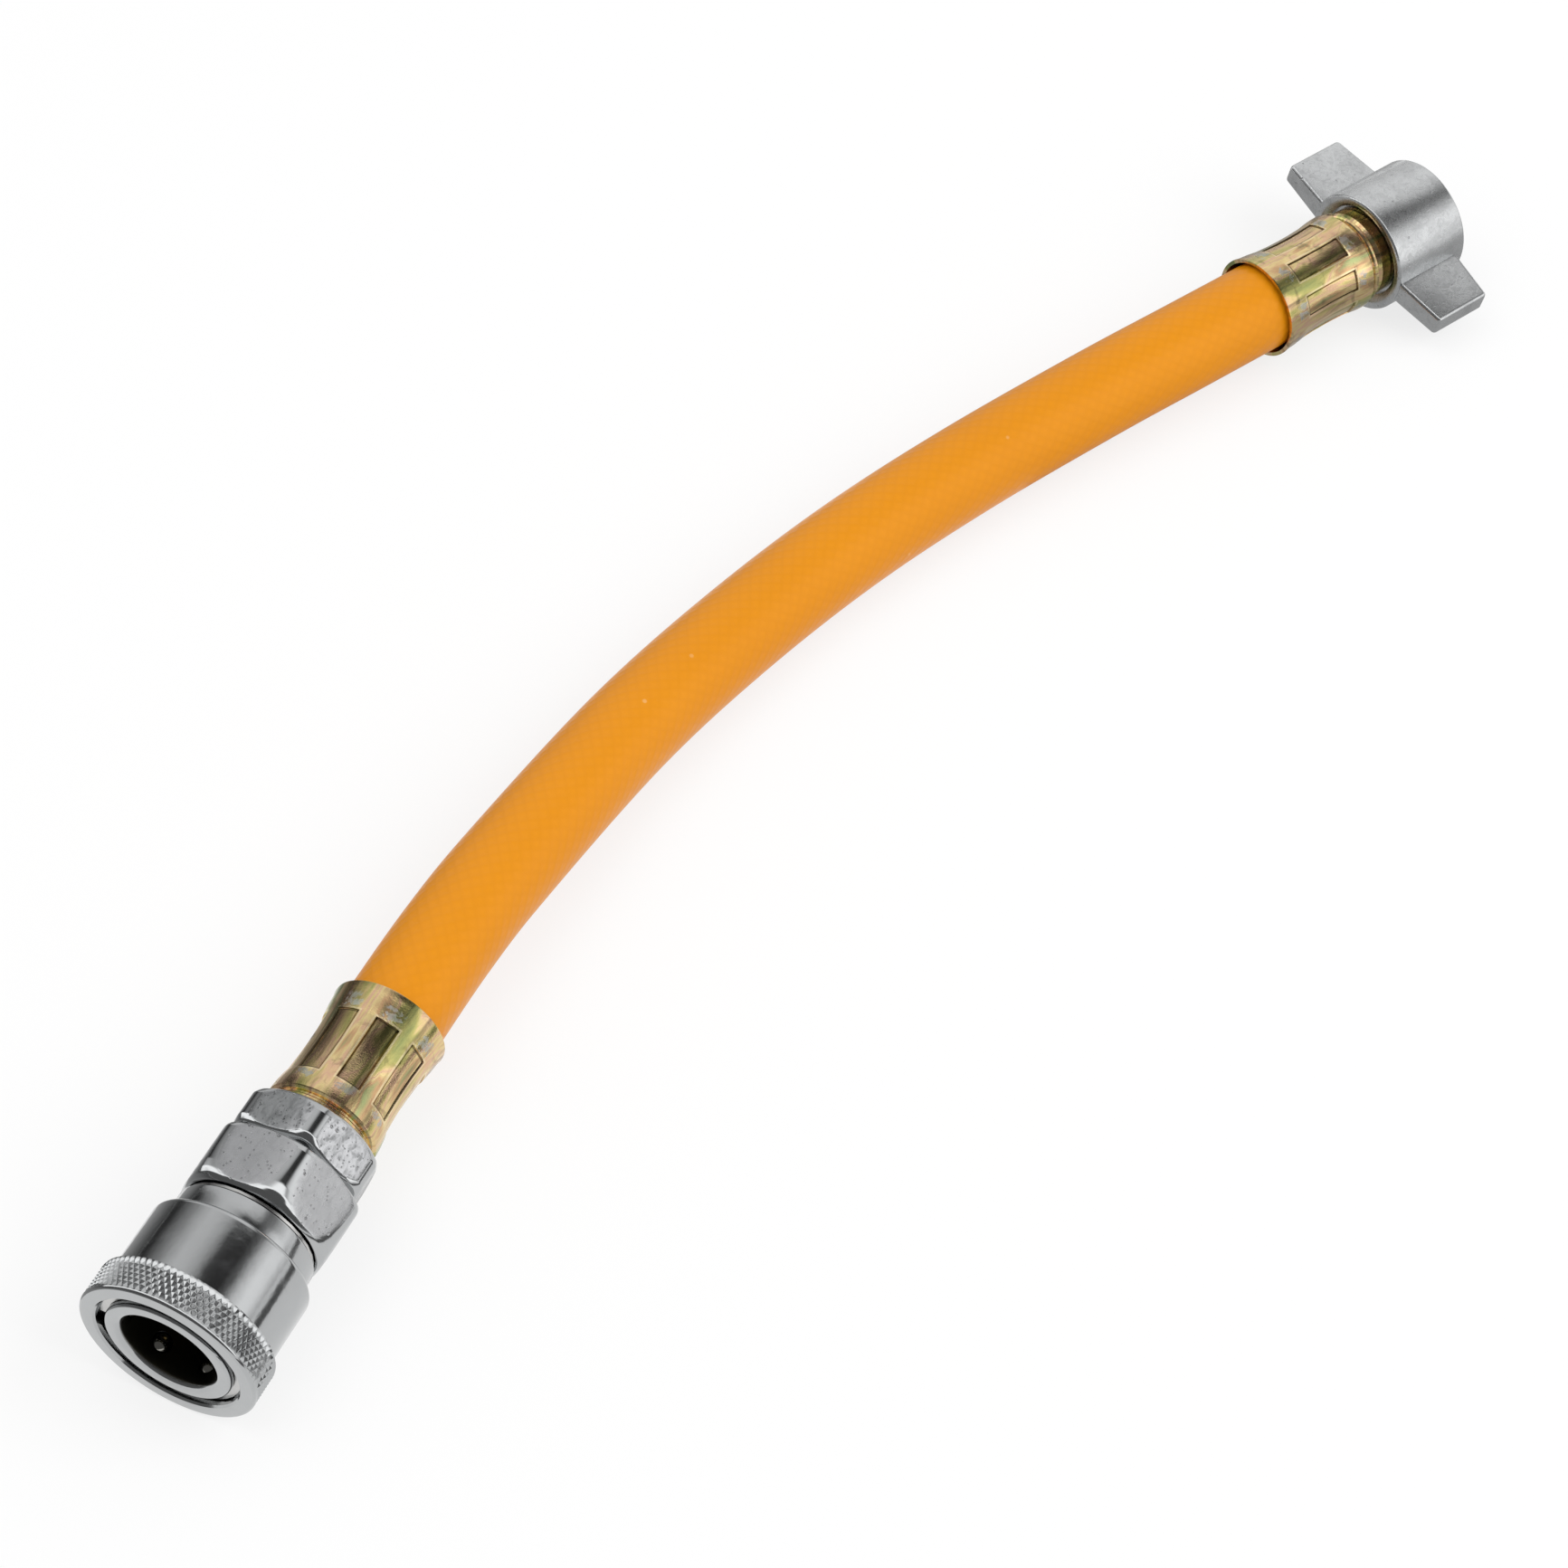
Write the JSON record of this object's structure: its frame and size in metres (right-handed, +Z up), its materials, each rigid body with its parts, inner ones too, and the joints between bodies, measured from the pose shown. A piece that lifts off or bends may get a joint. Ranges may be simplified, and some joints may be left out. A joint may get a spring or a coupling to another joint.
{
  "type": "air hose",
  "caption": "Short flexible air hose with a quick-connect socket and a swivelling wing nut, both on crimped ferrules.",
  "frame": {"origin": "centre of the plan of the metal ends, on the surface the hose lies on", "axes": "+X along the socket from its mouth towards the hose, +Z up from the surface"},
  "size_m": [0.302, 0.1067, 0.0275],
  "materials": {
    "hose": "semi-gloss orange flexible PVC over braid",
    "ferrule": "yellow passivated zinc on steel, iridescent",
    "stem": "dull plated steel, finely pitted",
    "nut": "matte die-cast zinc",
    "chrome": "polished chrome plate",
    "satin": "satin chrome plate",
    "steel": "bright steel",
    "brass": "turned",
    "rubber": "matte black nitrile"
  },
  "bodies": {
    "hose_body": {"hose": "hose", "coupler_ferrule": "ferrule", "wing_ferrule": "ferrule", "coupler_stem": "stem", "wing_stem": "ferrule", "wing_gasket": "rubber", "coupler_barrel": "chrome", "coupler_adapter": "satin", "body_gasket": "steel", "plug_seal": "rubber", "valve_spring": "steel"},
    "wing_nut": {"wing_nut": "nut"},
    "sleeve_turn": {"snap_ring": "steel", "sleeve_spring": "steel"},
    "sleeve": {"sleeve": "chrome"},
    "valve": {"valve_poppet": "brass", "valve_seal": "rubber"},
    "lock_ball_1": {"lock_ball_1": "steel"},
    "lock_ball_2": {"lock_ball_2": "steel"},
    "lock_ball_3": {"lock_ball_3": "steel"},
    "lock_ball_4": {"lock_ball_4": "steel"},
    "lock_ball_5": {"lock_ball_5": "steel"},
    "lock_ball_6": {"lock_ball_6": "steel"}
  },
  "joints": [
    {"name": "nut_turn", "type": "hinge", "parent": "hose_body", "child": "wing_nut", "pos_m": [0.13767, -0.03345, 0.0109], "axis": [0.8894, -0.4571, 0], "continuous": true},
    {"name": "sleeve_turn", "type": "hinge", "parent": "hose_body", "child": "sleeve_turn", "pos_m": [-0.14905, 0.0395, 0.01375], "axis": [1, 0, 0], "continuous": true},
    {"name": "sleeve_slide", "type": "slide", "parent": "sleeve_turn", "child": "sleeve", "axis": [1, 0, 0], "range_m": [0, 0.0036], "stiffness_N_per_m": 1500, "springref_m": -0.006, "deforming": ["sleeve_spring"]},
    {"name": "valve_slide", "type": "slide", "parent": "hose_body", "child": "valve", "axis": [1, 0, 0], "range_m": [0, 0.004], "stiffness_N_per_m": 800, "springref_m": -0.004, "deforming": ["valve_spring"]},
    {"name": "ball_1_slide", "type": "slide", "parent": "hose_body", "child": "lock_ball_1", "axis": [0, 0.5592, -0.829], "range_m": [0, 0.0009]},
    {"name": "ball_2_slide", "type": "slide", "parent": "hose_body", "child": "lock_ball_2", "axis": [0, 0.9976, 0.0698], "range_m": [0, 0.0009]},
    {"name": "ball_3_slide", "type": "slide", "parent": "hose_body", "child": "lock_ball_3", "axis": [0, 0.4384, 0.8988], "range_m": [0, 0.0009]},
    {"name": "ball_4_slide", "type": "slide", "parent": "hose_body", "child": "lock_ball_4", "axis": [0, -0.5592, 0.829], "range_m": [0, 0.0009]},
    {"name": "ball_5_slide", "type": "slide", "parent": "hose_body", "child": "lock_ball_5", "axis": [0, -0.9976, -0.0698], "range_m": [0, 0.0009]},
    {"name": "ball_6_slide", "type": "slide", "parent": "hose_body", "child": "lock_ball_6", "axis": [0, -0.4384, -0.8988], "range_m": [0, 0.0009]}
  ],
  "couplings": [
    {"joint": "ball_1_slide", "follows": "sleeve_slide", "ratio": 0.25},
    {"joint": "ball_2_slide", "follows": "sleeve_slide", "ratio": 0.25},
    {"joint": "ball_3_slide", "follows": "sleeve_slide", "ratio": 0.25},
    {"joint": "ball_4_slide", "follows": "sleeve_slide", "ratio": 0.25},
    {"joint": "ball_5_slide", "follows": "sleeve_slide", "ratio": 0.25},
    {"joint": "ball_6_slide", "follows": "sleeve_slide", "ratio": 0.25}
  ]
}
